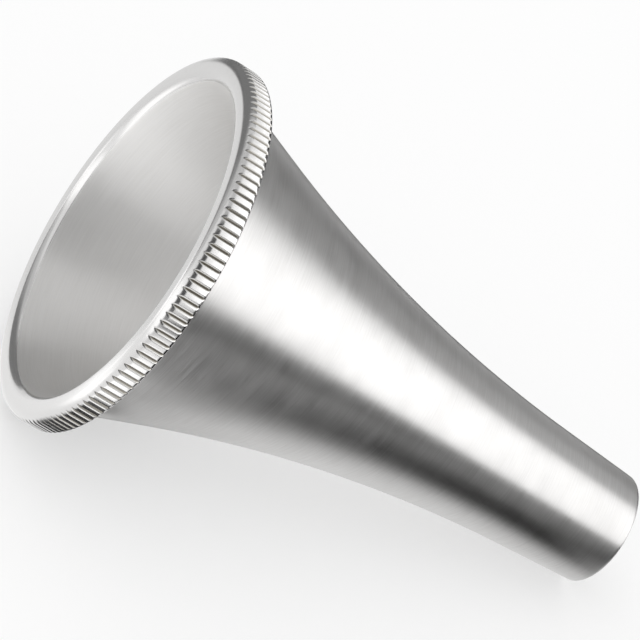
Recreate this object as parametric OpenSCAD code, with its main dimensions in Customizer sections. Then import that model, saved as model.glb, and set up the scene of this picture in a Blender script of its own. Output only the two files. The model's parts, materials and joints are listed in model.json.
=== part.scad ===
// Ear speculum: a spun metal funnel with a knurled ring brazed round its mouth.
// It lies on its side, on the ring's heel and the edge of the tip, as it does on a tray.
// Each piece is drawn about its own axis, with the ring's front face at height 0 and the
// tip at full length, and laid_down() then turns and lowers the whole object onto the floor.

/* [Overall] */
// Whole length, from the ring's front face to the end of the tip
length = 37.2; // [35:0.1:42]

/* [Ring] */
// Diameter over the knurl
ring_d = 24.4; // [22:0.1:28]
// Width of the ring's front, from the knurl in to the edge of the mouth
ring_band = 1.625; // [1.45:0.005:2.2]
// Width of the ring along the axis
ring_w = 1.85; // [1.6:0.05:2.6]
// Rounding of the front outer edge, where the grooves run out
nose_round = 0.62; // [0.4:0.02:0.7]
// Rounding of the rear outer edge, which the object lies on
heel_round = 0.3; // [0.15:0.05:0.5]
// Width of the polished rounded lip round the mouth, measured across it
lip_w = 0.6; // [0.4:0.05:0.7]
// Depth of that lip behind the front face
lip_depth = 0.37; // [0.2:0.01:0.45]

/* [Knurl] */
// Grooves round the ring
knurl_count = 134; // [80:2:140]
// Depth of a groove
knurl_depth = 0.12; // [0.08:0.01:0.19]
// Angle between the two flanks of a groove
knurl_angle = 90; // [60:5:95]

/* [Funnel] */
// Clear diameter of the tip's bore
tip_d = 6.2; // [4:0.1:7]
// Thickness of the metal
wall = 0.6; // [0.4:0.05:0.7]
// Half-angle of the long taper at the tip
tip_angle = 3.7; // [3:0.1:4.5]
// Length from the tip back to where the taper's line meets the line of the mouth's cone
taper_run = 18.75; // [17:0.05:21]
// Length of wall on each side of that place that the long sweep rounds off
sweep_half = 12.9; // [11:0.1:14.5]
// Length of the tip's bore that is straight
tip_land = 2.5; // [1.5:0.1:3]

/* [Joint between ring and funnel] */
// Depth of the shoulder in the ring that the funnel's mouth butts against
shoulder = 0.75; // [0.6:0.05:1]
// Thickness of the braze between the two cones
braze_gap = 0.1; // [0.05:0.01:0.15]
// Radius of the fillet that the braze leaves behind the ring
braze_fillet = 0.25; // [0.2:0.01:0.4]

/* [Hidden] */
$fn = 180;

// How far a cutting shape runs past the face it cuts
over = 0.05;

// Radii of the ring, of the mouth at the foot of its lip, and of the tip
ring_r = ring_d / 2;
mouth_r = ring_r - ring_band;
bore_r = tip_d / 2;
tip_out_r = bore_r + wall;

// Where the taper's line meets the cone's, on the outside, and the cone's half-angle: its
// line clears the foot of the lip by the wall's thickness
meet_h = length - taper_run;
meet_r = tip_out_r + taper_run * tan(tip_angle);
cone_run = meet_h - lip_depth;
cone_drop = mouth_r - meet_r;
mouth_angle = atan2(cone_drop, cone_run) + asin(wall / norm([cone_run, cone_drop]));

// The cone behind the mouth, as radii at a height h, on its inside and outside
function inner_r(h) = mouth_r - (h - lip_depth) * tan(mouth_angle);
function outer_r(h) = inner_r(h) + wall / cos(mouth_angle);
function seat_r(h) = outer_r(h) + braze_gap / cos(mouth_angle);

// The lip is one arc, level with the front face at its outer end
lip_r = (lip_w * lip_w + lip_depth * lip_depth) / (2 * lip_depth);

// The sweep is one arc that touches both lines, about this centre outside the wall
sweep_r = sweep_half / tan((mouth_angle - tip_angle) / 2);
sweep_mid_h = meet_h + sweep_half * cos(tip_angle) + sweep_r * sin(tip_angle);
sweep_mid_r = meet_r - sweep_half * sin(tip_angle) + sweep_r * cos(tip_angle);

// The tip's edge is one full round between its bore and its taper
tip_round = wall * cos(tip_angle) / (1 + cos(tip_angle) - sin(tip_angle));
tip_mid_h = length - tip_round;
tip_mid_r = bore_r + tip_round;

// The heel's round, and the lean of a line that touches it and the round of the tip
heel_mid_h = ring_w - heel_round;
heel_mid_r = ring_r - heel_round;
rest_run = tip_mid_h - heel_mid_h;
rest_drop = heel_mid_r - tip_mid_r;
lie_angle = atan2(rest_drop, rest_run)
    + asin((heel_round - tip_round) / norm([rest_run, rest_drop]));

// Height of the mouth's centre over the floor, and the two ends of the object as it lies
lie_lift = heel_mid_h * sin(lie_angle) + heel_mid_r * cos(lie_angle) + heel_round;
mouth_end = nose_round * cos(lie_angle) - (ring_r - nose_round) * sin(lie_angle) - nose_round;
tip_end = tip_mid_h * cos(lie_angle) + tip_mid_r * sin(lie_angle) + tip_round;

// Turns a piece from its own upright axis to the way it lies, centred over the origin.
module laid_down() {
    translate([-(mouth_end + tip_end) / 2, 0, lie_lift])
        rotate([0, 90 + lie_angle, 0])
            children();
}

// Point on the sweep's arc of radius r where the wall leans by the angle a.
function on_sweep(r, a) = [sweep_mid_r - r * cos(a), sweep_mid_h - r * sin(a)];

// Everything inside a wall that runs as a cone, then the sweep of radius r, then a taper
// that ends at the point foot; top is the cone's first point.
module sweep_zone(top, r, foot) {
    from = on_sweep(r, mouth_angle);
    to = on_sweep(r, tip_angle);
    polygon([[0, top.y], top, from, [0, from.y]]);
    difference() {
        translate([0, from.y])
            square([from.x, to.y - from.y]);
        translate([sweep_mid_r, sweep_mid_h])
            circle(r, $fn = 1440);
    }
    polygon([[0, to.y], to, foot, [0, foot.y]]);
}

// What the full round takes off the tip's two corners.
module tip_round_cut() {
    lean = [cos(tip_angle), sin(tip_angle)];
    mid = [tip_mid_r, tip_mid_h];
    difference() {
        polygon([
            [bore_r - over, tip_mid_h],
            mid,
            mid + (tip_round + over) * lean,
            [tip_out_r + over, length + over],
            [bore_r - over, length + over]
        ]);
        translate(mid)
            circle(tip_round);
    }
}

// Half of the funnel's lengthwise section.
module funnel_section() {
    difference() {
        sweep_zone([outer_r(shoulder), shoulder], sweep_r, [tip_out_r, length]);
        sweep_zone([inner_r(shoulder - over), shoulder - over], sweep_r + wall,
            [bore_r, length - tip_land]);
        translate([0, length - tip_land])
            square([bore_r, tip_land + over]);
        tip_round_cut();
    }
}

// Takes a square corner at the point at, which faces the way dir, down to the radius r.
module corner_cut(at, dir, r) {
    translate(at)
        scale([dir.x, dir.y])
            difference() {
                translate([-r, -r])
                    square(r + over);
                translate([-r, -r])
                    circle(r);
            }
}

// Half of the ring's section, before the knurl.
module ring_section() {
    difference() {
        polygon([
            [inner_r(shoulder), shoulder],
            [mouth_r, lip_depth],
            [mouth_r, 0],
            [ring_r, 0],
            [ring_r, ring_w],
            [seat_r(ring_w), ring_w],
            [seat_r(shoulder), shoulder]
        ]);
        corner_cut([ring_r, 0], [1, -1], nose_round);
        corner_cut([ring_r, ring_w], [1, 1], heel_round);
        difference() {
            translate([mouth_r - over, -over])
                square([lip_w + over, lip_depth + over]);
            translate([mouth_r + lip_w, lip_r])
                circle(lip_r);
        }
    }
}

// A groove's three points, seen along the axis, for the groove number i.
function groove(i) = [
    for (side = [-1, 0, 1])
        let (
            out = side == 0 ? ring_r - knurl_depth : ring_r + over,
            across = side * (knurl_depth + over) * tan(knurl_angle / 2),
            turn = (i + 0.5) * 360 / knurl_count
        )
        [out * cos(turn) - across * sin(turn), out * sin(turn) + across * cos(turn)]
];

// The ring seen along its axis: a disc with a V-groove between each two teeth.
module knurl_outline() {
    polygon([for (i = [0 : knurl_count - 1]) each groove(i)]);
}

module grip_ring() {
    color("silver")
        laid_down()
            intersection() {
                rotate_extrude()
                    ring_section();
                translate([0, 0, -over])
                    linear_extrude(ring_w + 2 * over)
                        knurl_outline();
            }
}

module funnel() {
    color("lightsteelblue")
        laid_down()
            rotate_extrude()
                funnel_section();
}

// The braze: a thin cone between ring and funnel, and the fillet that shows behind the ring.
module braze_section() {
    foot = outer_r(ring_w);
    mid = [foot + braze_fillet * (1 - sin(mouth_angle)) / cos(mouth_angle), ring_w + braze_fillet];
    polygon([
        [outer_r(shoulder), shoulder],
        [seat_r(shoulder), shoulder],
        [seat_r(ring_w), ring_w],
        [foot, ring_w]
    ]);
    difference() {
        polygon([
            [foot, ring_w],
            [mid.x, ring_w],
            mid,
            mid - braze_fillet * [cos(mouth_angle), sin(mouth_angle)]
        ]);
        translate(mid)
            circle(braze_fillet);
    }
}

module braze_seam() {
    color("goldenrod")
        laid_down()
            rotate_extrude()
                braze_section();
}

funnel();
grip_ring();
braze_seam();
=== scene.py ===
# %% [markdown]
# # An ear speculum in satin and polished steel
# An ear speculum is a small metal funnel that holds the ear canal open. A sheet disc is spun
# over a former into a wide mouth, a long sweep and a narrow tip, and a knurled ring is brazed
# round the mouth for the fingers. The construction model holds its sizes and its place, so
# this script starts by loading it. Everything below stands where it stands, in metres.

# %% Load the construction model
import json

import bpy
import numpy as np
from mathutils import Matrix


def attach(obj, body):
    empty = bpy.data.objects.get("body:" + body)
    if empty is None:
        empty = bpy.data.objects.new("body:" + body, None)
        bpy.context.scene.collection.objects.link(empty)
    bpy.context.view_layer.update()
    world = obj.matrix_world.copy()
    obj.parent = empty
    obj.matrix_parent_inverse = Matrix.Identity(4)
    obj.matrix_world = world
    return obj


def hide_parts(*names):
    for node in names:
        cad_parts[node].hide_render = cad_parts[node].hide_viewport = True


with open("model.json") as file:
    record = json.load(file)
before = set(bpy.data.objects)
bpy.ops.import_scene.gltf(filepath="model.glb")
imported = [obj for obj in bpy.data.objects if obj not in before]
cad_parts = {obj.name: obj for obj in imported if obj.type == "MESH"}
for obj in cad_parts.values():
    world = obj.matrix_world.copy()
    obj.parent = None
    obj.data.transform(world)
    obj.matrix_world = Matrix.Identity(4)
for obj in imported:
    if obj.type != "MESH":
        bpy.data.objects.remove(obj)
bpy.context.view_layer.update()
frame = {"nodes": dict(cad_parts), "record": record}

MM = 0.001

print("pieces in the frame:", sorted(frame["nodes"]))

# %% [markdown]
# The speculum lies on its side, so its own axis leans down from the mouth to the tip. The
# record gives the bore at the tip, with a point on the axis and the axis itself. Heights are
# measured along that axis, from the front face of the ring, and radii away from it. What can
# be measured on the frame is read from it, so the looks stay on the construction.

# %% Find the axis and the main sizes
mounts = {mount["name"]: mount for mount in frame["record"]["mounts"]}
bore_point = np.array(mounts["tip_bore"]["pos_m"])
AXIS = np.array(mounts["tip_bore"]["axis"])
AXIS = AXIS / np.linalg.norm(AXIS)
SIDE = np.array([0.0, 1.0, 0.0])
DOWN = np.cross(SIDE, AXIS)


def heights_and_radii(node):
    """Height of each vertex along the axis, and its distance from the axis."""
    mesh = frame["nodes"][node].data
    points = np.empty(len(mesh.vertices) * 3)
    mesh.vertices.foreach_get("co", points)
    offsets = points.reshape(-1, 3) - bore_point
    heights = offsets @ AXIS
    return heights, np.linalg.norm(offsets - np.outer(heights, AXIS), axis=1)


ring_heights, ring_radii = heights_and_radii("grip_ring")
funnel_heights, funnel_radii = heights_and_radii("funnel")
FACE = bore_point + ring_heights.min() * AXIS
LENGTH = funnel_heights.max() - ring_heights.min()
RING_RADIUS = ring_radii.max()
RING_WIDTH = ring_heights.max() - ring_heights.min()
BORE_RADIUS = mounts["tip_bore"]["dims"]["r_mm"] * MM
print("length %.2f, ring %.2f wide and %.2f across, in mm"
      % (LENGTH / MM, RING_WIDTH / MM, 2 * RING_RADIUS / MM))


def place(heights, radii, turns):
    """The point at a height on the axis, out by the radius in the direction of the turn:
    face + height * axis + radius * (cos(turn) * down + sin(turn) * side)."""
    outward = np.cos(turns)[..., None] * DOWN + np.sin(turns)[..., None] * SIDE
    return FACE + heights[..., None] * AXIS + radii[..., None] * outward


# %% [markdown]
# The camera comes first, because every later choice is judged through it. A ring seen at an
# angle is an ellipse, and its flatness gives the angle between the view and the axis. The
# camera stands on the side of the mouth, and leans so that the axis runs down to the right.
# A long lens from far off keeps the long funnel from bulging. One mark on the axis, just
# behind the front of the ring, is put on its own pixel, and that settles where the eye is.

# %% Which way the camera looks
VIEW_DISTANCE = 250 * MM
VIEW_ELEVATION = np.radians(32.0)
AXIS_AWAY = np.radians(23.717)
AXIS_SLOPE = np.radians(31.602)
FOCAL_PIXELS = 4287.75
PICTURE_SIZE = 640
MARK_HEIGHT = 0.62 * MM
MARK_PIXEL = np.array([128.025, 239.970])

look_down = -np.sin(VIEW_ELEVATION)
look_along = (np.sin(AXIS_AWAY) - AXIS[2] * look_down) / AXIS[0]
look = np.array([look_along, np.sqrt(1 - look_along**2 - look_down**2), look_down])
axis_seen = AXIS - (AXIS @ look) * look
axis_seen = axis_seen / np.linalg.norm(axis_seen)
across_seen = np.cross(-look, axis_seen)
camera_right = np.cos(AXIS_SLOPE) * axis_seen + np.sin(AXIS_SLOPE) * across_seen
camera_up = -np.sin(AXIS_SLOPE) * axis_seen + np.cos(AXIS_SLOPE) * across_seen
off_centre = (MARK_PIXEL - PICTURE_SIZE / 2) / FOCAL_PIXELS
mark = FACE + MARK_HEIGHT * AXIS
eye = mark - VIEW_DISTANCE * (look + off_centre[0] * camera_right - off_centre[1] * camera_up)
print("the camera looks along", np.round(look, 3))

# %% [markdown]
# Blender's camera looks along its own -Z, with +X to the right and +Y up, so these three
# directions are the columns of its matrix. The lens follows from the focal length in pixels.

# %% Camera
SENSOR_WIDTH = 36.0
NEAREST_SEEN = 10 * MM

camera_data = bpy.data.cameras.new("camera")
camera_data.sensor_fit = "HORIZONTAL"
camera_data.sensor_width = SENSOR_WIDTH
camera_data.lens = FOCAL_PIXELS * SENSOR_WIDTH / PICTURE_SIZE
camera_data.clip_start = NEAREST_SEEN
camera = bpy.data.objects.new("camera", camera_data)
camera_turn = np.eye(4)
camera_turn[:3, 0] = camera_right
camera_turn[:3, 1] = camera_up
camera_turn[:3, 2] = -look
camera_turn[:3, 3] = eye
camera.matrix_world = Matrix(camera_turn.tolist())
bpy.context.scene.collection.objects.link(camera)
bpy.context.scene.camera = camera
print("lens %.1f mm, camera at" % camera_data.lens, np.round(eye / MM, 1), "mm")

# %% [markdown]
# All three pieces are turned: a section swept once round the axis. The section is a closed
# outline, a list of heights and radii made of straight runs and arcs.

# %% Straight runs and arcs of a section
FINE = 24


def run(start, end, count):
    """Points from start towards end, evenly spaced: start + share * (end - start). The end
    itself is left to the next stretch."""
    share = np.arange(count)[:, None] / count
    return np.array(start) + share * (np.array(end) - np.array(start))


def arc(middle, radius, first, last, count):
    """Points on a circle: middle + radius * (sin(a), cos(a)) for a from first to last, where
    0 points away from the axis and 90 degrees towards the tip."""
    angle = np.radians(first + (last - first) * np.arange(count) / count)
    return np.array(middle) + radius * np.stack([np.sin(angle), np.cos(angle)], axis=1)


print("a quarter round gets up to", FINE, "steps")

# %% [markdown]
# The faces of a solid have to point outwards, or Blender shades it inside out. The volume
# that they enclose tells: it comes out negative where they point inwards.

# %% Measure the volume inside a mesh
def volume(points, faces):
    """Signed volume inside a closed mesh of four-sided faces. Each face is two triangles, and
    a triangle with the corners p, q and r adds p . (q x r) / 6."""
    a, b, c, d = (points[faces[:, corner]] for corner in range(4))
    first_half = np.einsum("ij,ij->i", a, np.cross(b, c))
    second_half = np.einsum("ij,ij->i", a, np.cross(c, d))
    return (first_half + second_half).sum() / 6


# %% [markdown]
# One helper sweeps the section into a grid that is closed both ways, so it has no poles and
# no open seam. It also lays a UV map, with U along the section and V round the axis, for
# finishes that follow the metal. Only edges sharper than SHARP_ANGLE stay sharp to the eye.

# %% Sweep a section round the axis
SHARP_ANGLE = np.radians(40)


def sweep_round(name, heights, radii, turns, finish_of_row):
    """A closed solid from grids of heights and radii, one row for each point of the section
    and one column for each turn. Each row's faces take the finish that finish_of_row gives."""
    rows, columns = heights.shape
    points = place(heights, radii, np.broadcast_to(turns, heights.shape)).reshape(-1, 3)
    row, column = np.meshgrid(np.arange(rows), np.arange(columns), indexing="ij")
    next_row = (row + 1) % rows
    next_column = (column + 1) % columns
    faces = np.stack([row * columns + column, next_row * columns + column,
                      next_row * columns + next_column, row * columns + next_column], axis=-1)
    faces = faces.reshape(-1, 4)
    steps = np.hypot(np.diff(heights[:, 0], append=heights[0, 0]),
                     np.diff(radii[:, 0], append=radii[0, 0]))
    along = np.concatenate([[0], np.cumsum(steps)])
    lap = np.append(turns, turns[0] + 2 * np.pi) / (2 * np.pi)
    corner_u = along[np.stack([row, row + 1, row + 1, row], axis=-1)]
    corner_v = lap[np.stack([column, column, column + 1, column + 1], axis=-1)]
    map_uv = np.stack([corner_u, corner_v], axis=-1).reshape(-1, 4, 2)
    if volume(points - FACE, faces) < 0:
        faces = faces[:, ::-1]
        map_uv = map_uv[:, ::-1]
    mesh = bpy.data.meshes.new(name)
    mesh.from_pydata(points.tolist(), [], faces.tolist())
    mesh.uv_layers.new(name="surface").data.foreach_set("uv", map_uv.ravel())
    mesh.polygons.foreach_set("material_index", np.repeat(finish_of_row, columns))
    mesh.shade_smooth()
    mesh.set_sharp_from_angle(angle=SHARP_ANGLE)
    piece = bpy.data.objects.new(name, mesh)
    bpy.context.scene.collection.objects.link(piece)
    print(name, "has", len(faces) * 2, "triangles and holds",
          round(abs(volume(points - FACE, faces)) / MM**3, 1), "mm3")
    return piece


# %% [markdown]
# The funnel starts as a cone at the mouth and ends as a long slender taper, and one long arc
# blends the two. The lines of the cone and the taper are found first, then the arc that
# touches both. The sizes that aren't read from the frame, such as the wall and the angles,
# are the construction's own, written again here.

# %% The lines and the arc of the funnel
WALL = 0.6 * MM
TIP_ANGLE = np.radians(3.7)
TAPER_RUN = 18.75 * MM
SWEEP_HALF = 12.9 * MM
RING_BAND = 1.625 * MM
LIP_WIDTH = 0.6 * MM
LIP_DEPTH = 0.37 * MM

mouth_radius = RING_RADIUS - RING_BAND
tip_radius = BORE_RADIUS + WALL
meet_height = LENGTH - TAPER_RUN
meet_radius = tip_radius + TAPER_RUN * np.tan(TIP_ANGLE)
cone_run = meet_height - LIP_DEPTH
cone_drop = mouth_radius - meet_radius
MOUTH_ANGLE = np.arctan2(cone_drop, cone_run) + np.arcsin(WALL / np.hypot(cone_run, cone_drop))
sweep_radius = SWEEP_HALF / np.tan((MOUTH_ANGLE - TIP_ANGLE) / 2)
sweep_middle = np.array([
    meet_height + SWEEP_HALF * np.cos(TIP_ANGLE) + sweep_radius * np.sin(TIP_ANGLE),
    meet_radius - SWEEP_HALF * np.sin(TIP_ANGLE) + sweep_radius * np.cos(TIP_ANGLE)])
tip_round = WALL * np.cos(TIP_ANGLE) / (1 + np.cos(TIP_ANGLE) - np.sin(TIP_ANGLE))
tip_middle = np.array([LENGTH - tip_round, BORE_RADIUS + tip_round])
print("the cone leans %.2f degrees, the sweep has a radius of %.1f mm"
      % (np.degrees(MOUTH_ANGLE), sweep_radius / MM))

# %% [markdown]
# Spun sheet keeps about one thickness, so the inside is the outside moved in by the wall.
# The ring and the braze lie on the same cone, so the radii are helpers that they share.

# %% Radii of the cone and points of the sweep
def inner_radius(height):
    """Radius of the cone's inside: the mouth's radius less the height times the slope."""
    return mouth_radius - (height - LIP_DEPTH) * np.tan(MOUTH_ANGLE)


def outer_radius(height, clearance=0.0):
    """The cone's inside moved out, square to the metal, by the wall and a clearance."""
    return inner_radius(height) + (WALL + clearance) / np.cos(MOUTH_ANGLE)


def sweep_point(radius, angle):
    """Point of the sweep where the wall leans by the angle."""
    return sweep_middle - radius * np.array([np.sin(angle), np.cos(angle)])


def sweep_arc(radius, first, last, count):
    """The sweep between two leans, as an arc about its middle outside the wall."""
    return arc(sweep_middle, radius, 180 + np.degrees(first), 180 + np.degrees(last), count)


# %% [markdown]
# The outline goes down the outside from the shoulder in the ring, round the edge of the tip,
# and back up the inside. The tip's edge is turned to a full round, because it touches skin.

# %% The funnel's section
TIP_LAND = 2.5 * MM
SHOULDER = 0.75 * MM

cone_steps = 3 * FINE // 4
taper_steps = FINE // 2
outside = np.concatenate([
    run([SHOULDER, outer_radius(SHOULDER)], sweep_point(sweep_radius, MOUTH_ANGLE), cone_steps),
    sweep_arc(sweep_radius, MOUTH_ANGLE, TIP_ANGLE, 2 * FINE),
    run(sweep_point(sweep_radius, TIP_ANGLE),
        tip_middle + tip_round * np.array([np.sin(TIP_ANGLE), np.cos(TIP_ANGLE)]), taper_steps),
    arc(tip_middle, tip_round, np.degrees(TIP_ANGLE), 180, FINE)])
inside = np.concatenate([
    run([tip_middle[0], BORE_RADIUS], [LENGTH - TIP_LAND, BORE_RADIUS], FINE // 4),
    run([LENGTH - TIP_LAND, BORE_RADIUS], sweep_point(sweep_radius + WALL, TIP_ANGLE), taper_steps),
    sweep_arc(sweep_radius + WALL, TIP_ANGLE, MOUTH_ANGLE, 2 * FINE),
    run(sweep_point(sweep_radius + WALL, MOUTH_ANGLE), [SHOULDER, inner_radius(SHOULDER)], cone_steps),
    run([SHOULDER, inner_radius(SHOULDER)], [SHOULDER, outer_radius(SHOULDER)], 2)])
print("the funnel's section has", len(outside), "points outside and", len(inside), "inside")

# %% [markdown]
# The section goes round the axis in steps small enough for a clean edge in the picture. The
# outside and the inside are finished with different tools, so each row of the grid carries
# the number of its finish.

# %% Sweep the funnel
FUNNEL_TURNS = 400
OUTSIDE_FINISH = 0
INSIDE_FINISH = 1

funnel_section = np.concatenate([outside, inside])
funnel_rows = np.full(len(funnel_section), INSIDE_FINISH)
funnel_rows[:len(outside)] = OUTSIDE_FINISH
funnel_turns = np.arange(FUNNEL_TURNS) * 2 * np.pi / FUNNEL_TURNS
funnel = sweep_round(
    "funnel_shell",
    np.repeat(funnel_section[:, :1], FUNNEL_TURNS, axis=1),
    np.repeat(funnel_section[:, 1:], FUNNEL_TURNS, axis=1),
    funnel_turns, funnel_rows)

# %% [markdown]
# The ring is turned from bar. Its front has a rounded, polished lip at the mouth, a narrow
# flat land, and a large round that runs into the knurl. A shoulder inside takes the funnel's
# edge, and a cone behind it takes the braze. Only the outer edge carries the knurl.

# %% The ring's section
NOSE_ROUND = 0.62 * MM
HEEL_ROUND = 0.3 * MM
BRAZE_GAP = 0.1 * MM

lip_radius = (LIP_WIDTH**2 + LIP_DEPTH**2) / (2 * LIP_DEPTH)
lip_middle = [lip_radius, mouth_radius + LIP_WIDTH]
lip_span = np.degrees(np.arcsin(LIP_WIDTH / lip_radius))
nose_middle = [NOSE_ROUND, RING_RADIUS - NOSE_ROUND]
heel_middle = [RING_WIDTH - HEEL_ROUND, RING_RADIUS - HEEL_ROUND]

mouth_cone = run([SHOULDER, inner_radius(SHOULDER)], [LIP_DEPTH, mouth_radius], 2)
lip = arc(lip_middle, lip_radius, 270 - lip_span, 270, FINE // 3)
land = run([0.0, mouth_radius + LIP_WIDTH], [0.0, nose_middle[1]], 2)
nose = arc(nose_middle, NOSE_ROUND, 270, 360, FINE // 2)
crest = run([NOSE_ROUND, RING_RADIUS], [heel_middle[0], RING_RADIUS], 2)
heel = arc(heel_middle, HEEL_ROUND, 0, 90, FINE // 3)
back = run([RING_WIDTH, heel_middle[1]], [RING_WIDTH, outer_radius(RING_WIDTH, BRAZE_GAP)], 4)
seat = run([RING_WIDTH, outer_radius(RING_WIDTH, BRAZE_GAP)],
           [SHOULDER, outer_radius(SHOULDER, BRAZE_GAP)], 3)
step = run([SHOULDER, outer_radius(SHOULDER, BRAZE_GAP)], [SHOULDER, inner_radius(SHOULDER)], 2)
ring_section = np.concatenate([mouth_cone, lip, land, nose, crest, heel, back, seat, step])
print("the ring's section has", len(ring_section), "points")

# %% [markdown]
# The knurl is straight: V-grooves run across the rim, with a flat crest between each two.
# Across a groove its radius rises evenly from the root, and this radius caps that of the
# section. Where the nose and the heel curve in below the groove, it runs out by itself. A
# soft minimum rounds the edges a little, as polishing does.

# %% Cut the knurl
KNURL_COUNT = 134
KNURL_DEPTH = 0.12 * MM
GROOVE_HALF_ANGLE = np.radians(45)
COLUMNS_A_PITCH = 12
EDGE_SOFTNESS = 0.02 * MM

pitch = 2 * np.pi / KNURL_COUNT
ring_turns = np.arange(KNURL_COUNT * COLUMNS_A_PITCH) * pitch / COLUMNS_A_PITCH
from_root = np.abs(ring_turns / pitch % 1 - 0.5) * pitch * RING_RADIUS
groove_radius = RING_RADIUS - KNURL_DEPTH + from_root / np.tan(GROOVE_HALF_ANGLE)


def soft_smaller(a, b, softness):
    """The smaller of two values, rounded where they cross: their mean less half the length of
    (difference, softness)."""
    return (a + b) / 2 - np.sqrt((a - b)**2 + softness**2) / 2


plain_radius = np.repeat(ring_section[:, 1:], len(ring_turns), axis=1)
cut_radius = soft_smaller(plain_radius, groove_radius[None, :], EDGE_SOFTNESS)
on_the_rim = plain_radius > RING_RADIUS - KNURL_DEPTH - EDGE_SOFTNESS
cut_radius = np.where(on_the_rim, cut_radius, plain_radius)
print("a groove every %.2f mm, %.2f mm deep"
      % (pitch * RING_RADIUS / MM, (cut_radius.max() - groove_radius.min()) / MM))

# %% [markdown]
# The first rows of the ring lie inside the mouth and are satin like the funnel's inside, and
# the rest is polished. Each point also keeps its share of painted shade and dullness, by how far
# it lies down a groove: none on a crest, and all of it deeper than a set share of the groove's depth.

# %% Sweep the ring
SATIN_ROWS = len(mouth_cone)
POLISHED_FINISH = 0
BORE_FINISH = 1
SHADE_AND_DULL_DEPTH = 0.6

ring_rows = np.full(len(ring_section), POLISHED_FINISH)
ring_rows[:SATIN_ROWS] = BORE_FINISH
ring = sweep_round("knurled_ring", np.repeat(ring_section[:, :1], len(ring_turns), axis=1),
                   cut_radius, ring_turns, ring_rows)
# How far down a groove each point lies. It darkens the tone there as painted shade, and dulls the
# polish.
shade_and_dullness = np.minimum((plain_radius - cut_radius) / (SHADE_AND_DULL_DEPTH * KNURL_DEPTH), 1)
grooved = ring.data.attributes.new("shade_and_dullness", "FLOAT", "POINT")
grooved.data.foreach_set("value", shade_and_dullness.ravel())

# %% [markdown]
# Silver braze joins the ring to the funnel. Most of it is a film between the two cones, and
# the only part that shows is the small hollow fillet behind the ring.

# %% The braze's section
BRAZE_FILLET = 0.25 * MM

fillet_foot = outer_radius(RING_WIDTH)
fillet_middle = [RING_WIDTH + BRAZE_FILLET,
                 fillet_foot + BRAZE_FILLET * (1 - np.sin(MOUTH_ANGLE)) / np.cos(MOUTH_ANGLE)]
lean = np.degrees(MOUTH_ANGLE)
braze_section = np.concatenate([
    run([SHOULDER, outer_radius(SHOULDER)], [SHOULDER, outer_radius(SHOULDER, BRAZE_GAP)], 1),
    run([SHOULDER, outer_radius(SHOULDER, BRAZE_GAP)],
        [RING_WIDTH, outer_radius(RING_WIDTH, BRAZE_GAP)], 2),
    run([RING_WIDTH, outer_radius(RING_WIDTH, BRAZE_GAP)], [RING_WIDTH, fillet_middle[1]], 2),
    arc(fillet_middle, BRAZE_FILLET, 270, 180 + lean, FINE // 3),
    run(fillet_middle - BRAZE_FILLET * np.array([np.sin(MOUTH_ANGLE), np.cos(MOUTH_ANGLE)]),
        [SHOULDER, outer_radius(SHOULDER)], 4)])
print("the braze's section has", len(braze_section), "points")

# %% [markdown]
# The braze has to lie close to the funnel all the way round, so it takes as many steps round
# the axis as the funnel does.

# %% Sweep the braze
BRAZE_TURNS = 400

braze_turns = np.arange(BRAZE_TURNS) * 2 * np.pi / BRAZE_TURNS
braze = sweep_round(
    "braze_fillet",
    np.repeat(braze_section[:, :1], BRAZE_TURNS, axis=1),
    np.repeat(braze_section[:, 1:], BRAZE_TURNS, axis=1),
    braze_turns, np.zeros(len(braze_section), int))

# %% [markdown]
# Each new piece now stands for its solid in the construction model, which is hidden. It rides
# on the one body of the part.

# %% Tie the pieces to the frame
for piece, node, slot in ((funnel, "funnel", "satin_steel"), (ring, "grip_ring", "polished_steel"),
                          (braze, "braze_seam", "braze")):
    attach(piece, "root")
    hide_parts(node)
    print(piece.name, "stands for", node)

# %% [markdown]
# Metal has almost no colour of its own. What the eye reads as satin or polish is how far the
# surface spreads a reflection, and in which direction. A few helpers keep the node trees
# short. The first two start a material and line its pattern up with the funnel's own axis.

# %% A material and its place on the axis
def new_material(name):
    """A material with an empty node tree and its output."""
    material = bpy.data.materials.new(name)
    material.use_nodes = True
    material.node_tree.nodes.clear()
    output = material.node_tree.nodes.new("ShaderNodeOutputMaterial")
    return material, material.node_tree, output


def along_axis(tree):
    """Object coordinates turned and moved so that X is the height along the axis and Y and Z
    lie across it."""
    coordinates = tree.nodes.new("ShaderNodeTexCoord")
    turned = tree.nodes.new("ShaderNodeMapping")
    lie_angle = np.arctan2(-AXIS[2], AXIS[0])
    turned.inputs["Rotation"].default_value = (0, -lie_angle, 0)
    turned.inputs["Location"].default_value = (-(FACE @ AXIS), 0, -(FACE @ -DOWN))
    tree.links.new(coordinates.outputs["Object"], turned.inputs["Vector"])
    return turned.outputs["Vector"]


# %% [markdown]
# Noise that is squeezed in one direction reads as the lines that a tool leaves. Most of its
# values lie near the middle, so the range between NOISE_LOW and NOISE_HIGH is what gets
# stretched onto a tone or a roughness.

# %% Noise, ranges and relief
NOISE_LOW = 0.3
NOISE_HIGH = 0.7


def stretched_noise(tree, place_socket, along, across, detail):
    """Noise whose grains are about as long along the axis and across it as asked, in metres.
    Grains that are short along the axis and long across it read as lines left by turning."""
    scaled = tree.nodes.new("ShaderNodeVectorMath")
    scaled.operation = "MULTIPLY"
    scaled.inputs[1].default_value = (1 / along, 1 / across, 1 / across)
    noise = tree.nodes.new("ShaderNodeTexNoise")
    noise.inputs["Scale"].default_value = 1.0
    noise.inputs["Detail"].default_value = detail
    tree.links.new(place_socket, scaled.inputs[0])
    tree.links.new(scaled.outputs["Vector"], noise.inputs["Vector"])
    return noise.outputs["Fac"]


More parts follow.
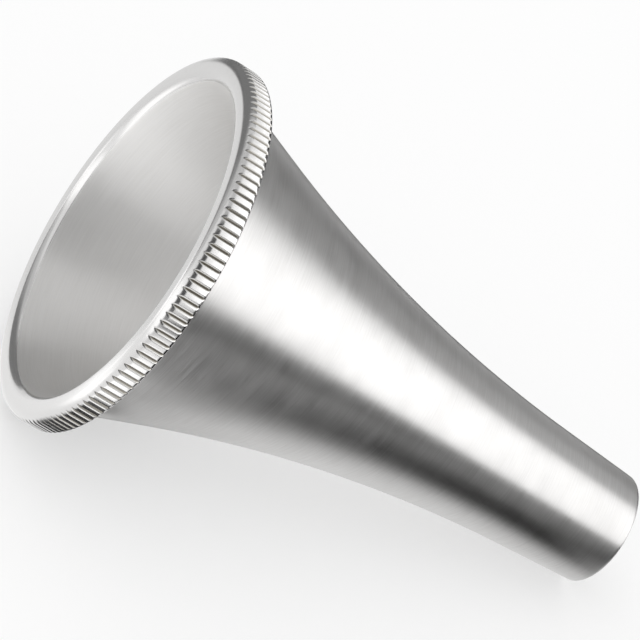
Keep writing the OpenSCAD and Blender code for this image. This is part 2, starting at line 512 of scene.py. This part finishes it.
def spread(tree, socket, low, high):
    """The noise's middle range stretched onto low to high."""
    ranged = tree.nodes.new("ShaderNodeMapRange")
    ranged.inputs["From Min"].default_value = NOISE_LOW
    ranged.inputs["From Max"].default_value = NOISE_HIGH
    ranged.inputs["To Min"].default_value = low
    ranged.inputs["To Max"].default_value = high
    tree.links.new(socket, ranged.inputs["Value"])
    return ranged.outputs["Result"]


def blended(tree, socket, first, second):
    """A colour between two, by the socket's value."""
    mix = tree.nodes.new("ShaderNodeMix")
    mix.data_type = "RGBA"
    mix.inputs["A"].default_value = (*first, 1)
    mix.inputs["B"].default_value = (*second, 1)
    tree.links.new(socket, mix.inputs["Factor"])
    return mix.outputs["Result"]


def bumped(tree, socket, depth):
    """A normal for a relief as deep as asked, in metres."""
    bump = tree.nodes.new("ShaderNodeBump")
    bump.inputs["Strength"].default_value = 1.0
    bump.inputs["Distance"].default_value = depth
    tree.links.new(socket, bump.inputs["Height"])
    return bump.outputs["Normal"]


# %% [markdown]
# All the finishes are bare metal, and differ only in tone, roughness, relief and stretch.
# Turned lines draw a reflection out to both sides of them, which the shader's anisotropy does.

# %% Bare metal
def metal(tree, output, colour, roughness, normal, stretch=0.0):
    """The shader for bare metal. With stretch, a reflection is drawn out along U of the UV
    map, which runs along the section, so square to the turned lines."""
    shader = tree.nodes.new("ShaderNodeBsdfPrincipled")
    shader.inputs["Metallic"].default_value = 1.0
    shader.inputs["Anisotropic"].default_value = stretch
    tree.links.new(colour, shader.inputs["Base Color"])
    tree.links.new(roughness, shader.inputs["Roughness"])
    tree.links.new(normal, shader.inputs["Normal"])
    if stretch:
        tangent = tree.nodes.new("ShaderNodeTangent")
        tangent.direction_type = "UV_MAP"
        tangent.uv_map = "surface"
        tree.links.new(tangent.outputs["Tangent"], shader.inputs["Tangent"])
    tree.links.new(shader.outputs["BSDF"], output.inputs["Surface"])


# %% [markdown]
# The outside of the funnel is satin. A fine abrasive held against the turning funnel leaves
# short lines round it, a few hundredths of a millimetre wide. They spread light along the
# funnel far more than round it, so bright and dark bands run its whole length with crisp
# edges. The shader's anisotropy gives that spread, and the noise gives the lines themselves.
# Slow clouds of roughness break up the evenness, as a hand does that doesn't press evenly.

# %% Satin outside
LINE_WIDTH = 0.07 * MM
LINE_LENGTH = 2.2 * MM
LINE_DETAIL = 3
LINE_RELIEF = 0.001 * MM
CLOUD_ALONG = 1.6 * MM
CLOUD_ACROSS = 2.4 * MM
CLOUD_DETAIL = 2
CLOUD_ROUGHNESS = 0.02
OUTSIDE_TONES = ((0.585, 0.578, 0.57), (0.66, 0.655, 0.65))
OUTSIDE_ROUGHNESS = (0.35, 0.41)
OUTSIDE_STRETCH = 0.82


def turned_satin(name, tones, roughness, stretch):
    """Satin with lines round the axis, in tone, roughness and relief, between two tones and
    two roughnesses. Stretch is how far a reflection is drawn out along the funnel."""
    material, tree, output = new_material(name)
    position = along_axis(tree)
    lines = stretched_noise(tree, position, LINE_WIDTH, LINE_LENGTH, LINE_DETAIL)
    clouds = stretched_noise(tree, position, CLOUD_ALONG, CLOUD_ACROSS, CLOUD_DETAIL)
    tone = blended(tree, spread(tree, lines, 0, 1), *tones)
    rough = tree.nodes.new("ShaderNodeMath")
    rough.operation = "ADD"
    tree.links.new(spread(tree, lines, *roughness), rough.inputs[0])
    tree.links.new(spread(tree, clouds, -CLOUD_ROUGHNESS, CLOUD_ROUGHNESS), rough.inputs[1])
    normal = bumped(tree, lines, LINE_RELIEF)
    metal(tree, output, tone, rough.outputs["Value"], normal, stretch)
    return material


outside_satin = turned_satin("outside_satin", OUTSIDE_TONES, OUTSIDE_ROUGHNESS, OUTSIDE_STRETCH)
print("the outside's roughness runs from", OUTSIDE_ROUGHNESS[0], "to", OUTSIDE_ROUGHNESS[1])

# %% [markdown]
# The inside has the same turned lines, but it is duller, because a tool reaches in less well
# than it goes round the outside, and its bands are softer for that. It also looks paler than
# the outside in the photograph, where its walls light each other, so its tones are set paler:
# that paleness is painted light.

# %% Satin inside
# Painted light: the inside's tones are paler than the outside's, for the light that its walls throw on
# each other.
INSIDE_TONES = ((0.775, 0.768, 0.757), (0.815, 0.809, 0.8))
INSIDE_ROUGHNESS = (0.43, 0.47)
INSIDE_STRETCH = 0.66

inside_satin = turned_satin("inside_satin", INSIDE_TONES, INSIDE_ROUGHNESS, INSIDE_STRETCH)
print("the inside's roughness runs from", INSIDE_ROUGHNESS[0], "to", INSIDE_ROUGHNESS[1])

# %% [markdown]
# The ring is polished, and reflects almost like a mirror. Compound stays in the grooves, where
# no buff reaches, so the roots are duller than the crests. They are also darker, which is
# painted shade. The share that the mesh keeps at each point, by how far it lies down a groove,
# drives both.

# %% Polished ring
SCUFF_ALONG = 0.12 * MM
SCUFF_ACROSS = 0.5 * MM
SCUFF_DETAIL = 3
SCUFF_RELIEF = 0.0006 * MM
CREST_TONE = (0.64, 0.635, 0.63)
# The darker tone down in the grooves is painted shade.
GROOVE_SHADE_TONE = (0.27, 0.255, 0.225)
POLISH_ROUGHNESS = (0.16, 0.22)
GRIME_ROUGHNESS = 0.12


def polished_ring():
    """Bright metal on the crests, duller down in the grooves, and darkened there by painted shade."""
    material, tree, output = new_material("polished_ring")
    position = along_axis(tree)
    scuffs = stretched_noise(tree, position, SCUFF_ALONG, SCUFF_ACROSS, SCUFF_DETAIL)
    shade_and_dull_share = tree.nodes.new("ShaderNodeAttribute")
    shade_and_dull_share.attribute_name = "shade_and_dullness"
    # Painted shade: the tone darkens from the crest towards the groove's root.
    tone = blended(tree, shade_and_dull_share.outputs["Fac"], CREST_TONE, GROOVE_SHADE_TONE)
    rough = tree.nodes.new("ShaderNodeMath")
    rough.operation = "MULTIPLY_ADD"
    rough.inputs[1].default_value = GRIME_ROUGHNESS
    tree.links.new(shade_and_dull_share.outputs["Fac"], rough.inputs[0])
    tree.links.new(spread(tree, scuffs, *POLISH_ROUGHNESS), rough.inputs[2])
    metal(tree, output, tone, rough.outputs["Value"], bumped(tree, scuffs, SCUFF_RELIEF))
    return material


# %% [markdown]
# Silver braze is a touch yellower than steel. It has a soft shine, and is slightly uneven in
# tone and height, as a metal is that flowed into its place.

# %% Braze
FLOW_ALONG = 0.5 * MM
FLOW_ACROSS = 0.9 * MM
FLOW_DETAIL = 2
FLOW_RELIEF = 0.004 * MM
BRAZE_TONES = ((0.56, 0.545, 0.515), (0.62, 0.605, 0.575))
BRAZE_ROUGHNESS = (0.28, 0.36)


def silver_braze():
    """Soft, faintly warm metal with a slow unevenness."""
    material, tree, output = new_material("silver_braze")
    position = along_axis(tree)
    flow = stretched_noise(tree, position, FLOW_ALONG, FLOW_ACROSS, FLOW_DETAIL)
    tone = blended(tree, spread(tree, flow, 0, 1), *BRAZE_TONES)
    metal(tree, output, tone, spread(tree, flow, *BRAZE_ROUGHNESS), bumped(tree, flow, FLOW_RELIEF))
    return material


# %% [markdown]
# Each piece takes its finishes in the order of the numbers that its faces carry. The ring's
# first rows wear the same satin as the funnel's inside, so the finish runs on into the mouth.

# %% Put the finishes on
for piece, materials in ((funnel, (outside_satin, inside_satin)),
                         (ring, (polished_ring(), inside_satin)),
                         (braze, (silver_braze(),))):
    for material in materials:
        piece.data.materials.append(material)
    print(piece.name, "wears", [material.name for material in materials])

# %% [markdown]
# The stage is a white floor under an even white sky, which lights every colour plainly. A
# camera that shows white paper as white lifts its shadows too, so the floor is partly a glow
# of its own, for the camera and for what the metal reflects. The rest of it is lit, and
# keeps a light shadow under the speculum.

# %% Which rays see the floor's glow
def seen_or_reflected(tree):
    """1 for camera, glossy and transmission rays, and 0 for the rays that only carry light."""
    rays = tree.nodes.new("ShaderNodeLightPath")
    total = rays.outputs["Is Camera Ray"]
    for name in ("Is Glossy Ray", "Is Transmission Ray"):
        larger = tree.nodes.new("ShaderNodeMath")
        larger.operation = "MAXIMUM"
        tree.links.new(total, larger.inputs[0])
        tree.links.new(rays.outputs[name], larger.inputs[1])
        total = larger.outputs["Value"]
    return total


# %% [markdown]
# The floor is one large square. Its paint and its glow are mixed by how much of it glows, and
# only for the rays that see the glow.

# %% Floor
FLOOR_HALF = 6.0
FLOOR_WHITE = 0.97
FLOOR_GLOW = 0.5

floor_mesh = bpy.data.meshes.new("floor")
floor_corners = [(-FLOOR_HALF, -FLOOR_HALF, 0), (FLOOR_HALF, -FLOOR_HALF, 0),
                 (FLOOR_HALF, FLOOR_HALF, 0), (-FLOOR_HALF, FLOOR_HALF, 0)]
floor_mesh.from_pydata(floor_corners, [], [(0, 1, 2, 3)])
floor = bpy.data.objects.new("floor", floor_mesh)
bpy.context.scene.collection.objects.link(floor)
floor_material, floor_tree, floor_output = new_material("white_floor")
floor_paint = floor_tree.nodes.new("ShaderNodeBsdfDiffuse")
floor_paint.inputs["Color"].default_value = (FLOOR_WHITE, FLOOR_WHITE, FLOOR_WHITE, 1)
floor_glow = floor_tree.nodes.new("ShaderNodeEmission")
glow_share = floor_tree.nodes.new("ShaderNodeMath")
glow_share.operation = "MULTIPLY"
glow_share.inputs[1].default_value = FLOOR_GLOW
floor_mix = floor_tree.nodes.new("ShaderNodeMixShader")
floor_tree.links.new(seen_or_reflected(floor_tree), glow_share.inputs[0])
floor_tree.links.new(glow_share.outputs["Value"], floor_mix.inputs["Fac"])
floor_tree.links.new(floor_paint.outputs["BSDF"], floor_mix.inputs[1])
floor_tree.links.new(floor_glow.outputs["Emission"], floor_mix.inputs[2])
floor_tree.links.new(floor_mix.outputs["Shader"], floor_output.inputs["Surface"])
floor_mesh.materials.append(floor_material)
print("the floor is", 2 * FLOOR_HALF, "m across and", FLOOR_GLOW, "of what is seen of it glows")

# %% [markdown]
# The sky is the same white in every direction, so it adds no shape of its own. The Standard
# view shows it without a film's curve, and white stays white.

# %% Sky
SKY_STRENGTH = 1.0

sky = bpy.data.worlds.new("sky")
bpy.context.scene.world = sky
sky.use_nodes = True
sky_shader = sky.node_tree.nodes["Background"]
sky_shader.inputs["Color"].default_value = (1, 1, 1, 1)
sky_shader.inputs["Strength"].default_value = SKY_STRENGTH
bpy.context.scene.view_settings.view_transform = "Standard"
print("the sky's strength is", SKY_STRENGTH)

# %% [markdown]
# A bright metal shows whatever stands round it, so in an all-white room it would look like
# paper. A photographer stands cards out of the picture: bright panels for the highlights, and
# grey and black ones for the dark bands that draw the shape. The cards here were laid out for
# this one view, first from a fit of the reflections to the photograph and then by comparing
# the render with it, so other views show whatever they happen to reflect.
#
# A card's turn is its direction round the funnel's axis: 0 is the upper side of the funnel as
# the camera sees it, and 90 degrees is the side that faces the camera. Its lean is how far it
# stands along the axis: -90 degrees is straight before the mouth, 0 is abreast of the funnel,
# and 90 is beyond the tip. A band that runs the whole length of the funnel comes from a card
# that covers many leans and few turns.

# %% Directions round the funnel
facing = -look - (-look @ AXIS) * AXIS
facing = facing / np.linalg.norm(facing)
upper = np.cross(facing, AXIS)
axis_on_floor = FACE + FACE[2] / -AXIS[2] * AXIS
dome_middle = FACE + LENGTH / 2 * AXIS
print("the axis meets the floor at", np.round(axis_on_floor / MM, 1), "mm")


def outward_at(turn):
    """The direction away from the axis at a turn in degrees:
    cos(turn) * upper + sin(turn) * facing."""
    return (np.cos(np.radians(turn))[..., None] * upper
            + np.sin(np.radians(turn))[..., None] * facing)


# %% [markdown]
# A card is a sheet that glows. Its level and its cover are attributes of the mesh, so one
# material serves every card, and the cover fades towards the edges to keep them soft.

# %% The glow of a card
def card_material(name):
    """A glow of the card's level, let through where its cover is less than whole."""
    material, tree, output = new_material(name)
    level = tree.nodes.new("ShaderNodeAttribute")
    level.attribute_name = "level"
    cover = tree.nodes.new("ShaderNodeAttribute")
    cover.attribute_name = "cover"
    glow = tree.nodes.new("ShaderNodeEmission")
    clear = tree.nodes.new("ShaderNodeBsdfTransparent")
    mix = tree.nodes.new("ShaderNodeMixShader")
    tree.links.new(level.outputs["Fac"], glow.inputs["Strength"])
    tree.links.new(cover.outputs["Fac"], mix.inputs["Fac"])
    tree.links.new(clear.outputs["BSDF"], mix.inputs[1])
    tree.links.new(glow.outputs["Emission"], mix.inputs[2])
    tree.links.new(mix.outputs["Shader"], output.inputs["Surface"])
    return material


card_glow = card_material("card_glow")
print("every card wears", card_glow.name)

# %% [markdown]
# Only reflections see the cards. They light nothing, throw no shadow and don't show in the
# picture, so the floor and the sky stay as even as they are.

# %% Sheets that only reflections see
def show_in_reflections_only(card):
    """Hides a card from the camera and from everything but reflections."""
    card.visible_camera = False
    card.visible_diffuse = False
    card.visible_shadow = False
    card.visible_transmission = False
    card.visible_volume_scatter = False


def eased(value, span, fades):
    """0 outside the span and 1 inside it. Over the fade at each end it follows an even S,
    share * share * (3 - 2 * share)."""
    rise = np.clip((value - span[0]) / fades[0], 0, 1)
    fall = np.clip((span[1] - value) / fades[1], 0, 1)
    return rise * rise * (3 - 2 * rise) * fall * fall * (3 - 2 * fall)


def glowing_sheet(name, points, level, cover):
    """A card from a grid of points, with an even level and a cover for each point."""
    rows, columns = cover.shape
    row, column = np.meshgrid(np.arange(rows - 1), np.arange(columns - 1), indexing="ij")
    first = (row * columns + column).ravel()
    faces = np.stack([first, first + 1, first + columns + 1, first + columns], axis=1)
    mesh = bpy.data.meshes.new(name)
    mesh.from_pydata(points.reshape(-1, 3).tolist(), [], faces.tolist())
    for attribute, values in (("level", np.full(cover.size, level)), ("cover", cover.ravel())):
        mesh.attributes.new(attribute, "FLOAT", "POINT").data.foreach_set("value", values)
    mesh.materials.append(card_glow)
    item = bpy.data.objects.new(name, mesh)
    bpy.context.scene.collection.objects.link(item)
    show_in_reflections_only(item)
    print(name, "glows at", level)
    return item


# %% [markdown]
# The first cards are patches of a dome, which is large, so that all of the speculum sees a
# card in the same direction. Where two of them overlap, the later one stands nearer and
# covers the earlier one.

# %% Cards on the dome
DOME_RADIUS = 0.6
DOME_STEP = 0.01
CARD_GRID = 97
cards_up = []


def card(name, turns, leans, level, turn_fades, lean_fades):
    """A patch of the dome, between two turns and two leans in degrees. A point on it is
    middle + radius * (sin(lean) * axis + cos(lean) * outward)."""
    turn, lean = np.meshgrid(np.linspace(*turns, CARD_GRID), np.linspace(*leans, CARD_GRID))
    direction = (np.sin(np.radians(lean))[..., None] * AXIS
                 + np.cos(np.radians(lean))[..., None] * outward_at(turn))
    radius = DOME_RADIUS - DOME_STEP * len(cards_up)
    cover = eased(turn, turns, turn_fades) * eased(lean, leans, lean_fades)
    cards_up.append(glowing_sheet(name, dome_middle + radius * direction, level, cover))


# %% [markdown]
# A large bright panel lights the side that faces the camera, and a black strip ends it with
# a crisp edge. Before the mouth stand a light and a grey for its inside, and a second grey
# beside them. A dark one beyond the funnel and one round the camera draw more of the dark
# bands, and a grey and a black one above shade the funnel's upper side. A narrow light above
# picks out the upper rim.

# %% Hang the cards on the dome
# Each is a name, two turns, two leans, a level, and the fades of the turns and of the leans
dome_cards = [
    ("front_light", (85, 275), (-90, -24), 1.6, (20, 20), (1, 14)),
    ("front_grey", (-100, 46), (-90, -28), 0.68, (20, 30), (1, 8)),
    ("side_grey", (-4, 70), (-38, 6), 0.72, (10, 14), (16, 8)),
    ("far_dark", (-104, 4), (-75, 19), 0.25, (10, 30), (24, 5)),
    ("camera_dark", (48, 131), (-46, 14), 0.1, (12, 26), (18, 12)),
    ("top_grey", (-28, 26), (25, 90), 0.22, (8, 14), (2, 1)),
    ("top_dark", (-70, -12), (25, 90), 0.0, (4, 14), (2, 1)),
    ("rim_light", (-70, 26), (18, 26), 1.9, (8, 12), (2, 2)),
    ("bright_panel", (12, 102), (14, 90), 2.25, (10, 2), (12, 1)),
    ("black_strip", (100, 130), (25, 90), 0.0, (2, 1), (2, 1)),
]
for settings in dome_cards:
    card(*settings)
print(len(cards_up), "cards hang on the dome")

# %% [markdown]
# Below the horizon the funnel mirrors the floor, so the other cards lie on it, each a hair
# above the one before. They are wedges about the place where the axis meets the floor.

# %% Cards on the floor
FLOOR_LIFT = 0.03 * MM
cards_down = []


def floor_card(name, turns, reach, level, turn_fades, reach_fades):
    """A wedge on the floor, between two turns in degrees and two distances in mm from where
    the axis meets the floor. A turn's direction is slid along the axis into the floor."""
    turn, distance = np.meshgrid(np.linspace(*turns, CARD_GRID), np.linspace(*reach, CARD_GRID))
    outward = outward_at(turn)
    flat = outward + (outward[..., 2:] / -AXIS[2]) * AXIS
    flat = flat / np.linalg.norm(flat, axis=-1, keepdims=True)
    lift = np.array([0, 0, FLOOR_LIFT * (1 + len(cards_down))])
    cover = eased(turn, turns, turn_fades) * eased(distance, reach, reach_fades)
    points = axis_on_floor + lift + distance[..., None] * MM * flat
    cards_down.append(glowing_sheet(name, points, level, cover))


# %% [markdown]
# White cards lie before the mouth and under the funnel and light its lower half, and smaller
# ones put highlights on the lip and the rim. Black ones lie along the near side of the funnel
# and draw the dark line that runs its whole length. Grey and dark ones on the far side shade
# the funnel's upper edge, and the last two are for the dark of the lower rim and the shadow
# under the ring.

# %% Lay the cards on the floor
# Each is a name, two turns, two distances, a level, and the fades of the turns and distances
floor_cards = [
    ("bounce", (130, 262), (48, 600), 1.12, (12, 40), (4, 200)),
    ("near_bounce", (172, 216), (0.5, 42), 0.92, (4, 30), (0.1, 6)),
    ("lip_bounce", (154, 262), (60, 100), 1.6, (14, 24), (5, 24)),
    ("rim_bounce", (128, 158), (49, 61), 1.7, (8, 3), (2, 5)),
    ("rim_far", (119, 138), (56, 105), 1.3, (3, 10), (5, 30)),
    ("far_light", (236, 275), (100, 3000), 1.7, (14, 6), (15, 1)),
    ("black_line", (97, 122), (0.5, 3000), 0.0, (2, 4), (0.1, 1)),
    ("black_wedge", (100, 171), (12, 47.5), 0.0, (4, 24), (6, 2)),
    ("black_tip", (100, 160), (0.5, 20), 0.03, (4, 34), (0.1, 6)),
    ("far_grey", (280, 312), (100, 3000), 0.2, (8, 3), (15, 1)),
    ("far_shade", (270, 312), (17, 48), 0.0, (6, 4), (4, 8)),
    ("far_wedge", (291, 313), (30, 140), 0.05, (3, 4), (10, 40)),
    ("rim_shade", (153, 180), (47, 56.5), 0.06, (2, 5), (1, 3)),
    ("under_ring", (184, 262), (41, 53.4), 0.12, (12, 12), (8, 0.6)),
]
for settings in floor_cards:
    floor_card(*settings)
print(len(cards_down), "cards lie on the floor")
